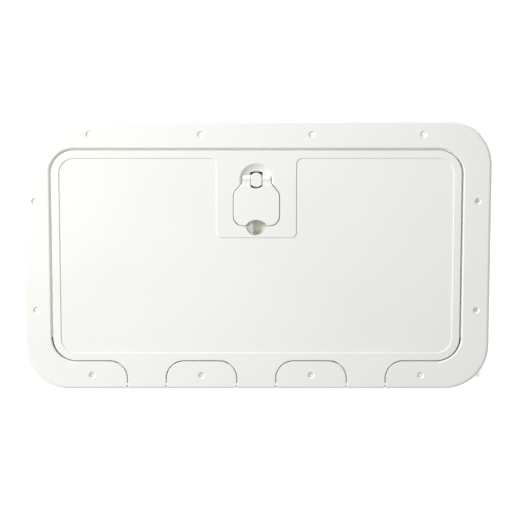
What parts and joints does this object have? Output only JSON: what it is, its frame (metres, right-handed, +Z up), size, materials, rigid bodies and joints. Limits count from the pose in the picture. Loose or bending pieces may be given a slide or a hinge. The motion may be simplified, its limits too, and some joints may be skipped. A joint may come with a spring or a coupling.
{
  "type": "deck hatch",
  "caption": "Flush marine deck hatch: flanged frame with drained gutter, lid on finger hinges that opens flat, and a flush lift-handle slam latch with a sprung bolt",
  "frame": {"origin": "middle of the frame in the plane of the deck, which is the underside of the flange", "axes": "+X along the hinge edge (the long side), +Y from the hinge edge to the latch edge, +Z up out of the deck"},
  "size_m": [0.606, 0.353, 0.0465],
  "materials": {
    "frame_plastic": "off-white moulded plastic, satin gloss",
    "lid_plastic": "off-white moulded plastic, satin gloss",
    "handle_plastic": "off-white moulded plastic, smooth",
    "latch_plastic": "off-white moulded plastic, smooth",
    "bolt_acetal": "black acetal, low sheen",
    "cover_plastic": "black moulded plastic, fine texture",
    "seal_rubber": "black EPDM rubber, matte",
    "washer_nylon": "natural nylon",
    "plug_plastic": "off-white plastic",
    "pin_steel": "stainless steel, ground",
    "spring_steel": "stainless spring wire",
    "keeper_steel": "stainless sheet, brushed",
    "screw_steel": "stainless steel, bright"
  },
  "bodies": {
    "frame": {"frame": "frame_plastic", "keeper_plate": "keeper_steel", "keeper_screws": "screw_steel", "hinge_pin_left": "pin_steel", "hinge_pin_centre": "pin_steel", "hinge_pin_right": "pin_steel", "hinge_pin_plugs": "plug_plastic"},
    "lid": {"lid": "lid_plastic", "lid_gasket": "seal_rubber", "handle_buffers": "seal_rubber", "handle_pin": "pin_steel", "handle_washers": "washer_nylon", "latch_body": "latch_plastic", "latch_body_seal": "seal_rubber", "latch_body_screws": "screw_steel", "latch_cover": "cover_plastic", "cover_screws": "screw_steel", "spring_rod": "pin_steel", "bolt_spring": "spring_steel"},
    "handle": {"handle": "handle_plastic"},
    "latch_bolt": {"latch_bolt": "bolt_acetal"}
  },
  "joints": [
    {"name": "lid_hinge", "type": "hinge", "parent": "frame", "child": "lid", "pos_m": [0, -0.17325, 0.00325], "axis": [1, 0, 0], "range_deg": [0, 180]},
    {"name": "handle_lift", "type": "hinge", "parent": "lid", "child": "handle", "pos_m": [0, 0.1003, 0.001], "axis": [-1, 0, 0], "range_deg": [0, 45]},
    {"name": "bolt_slide", "type": "slide", "parent": "lid", "child": "latch_bolt", "axis": [0, -1, 0], "range_m": [0, 0.01065], "deforming": ["bolt_spring"]}
  ],
  "couplings": [
    {"joint": "bolt_slide", "follows": "handle_lift", "m_per_rad": 0.0135}
  ]
}
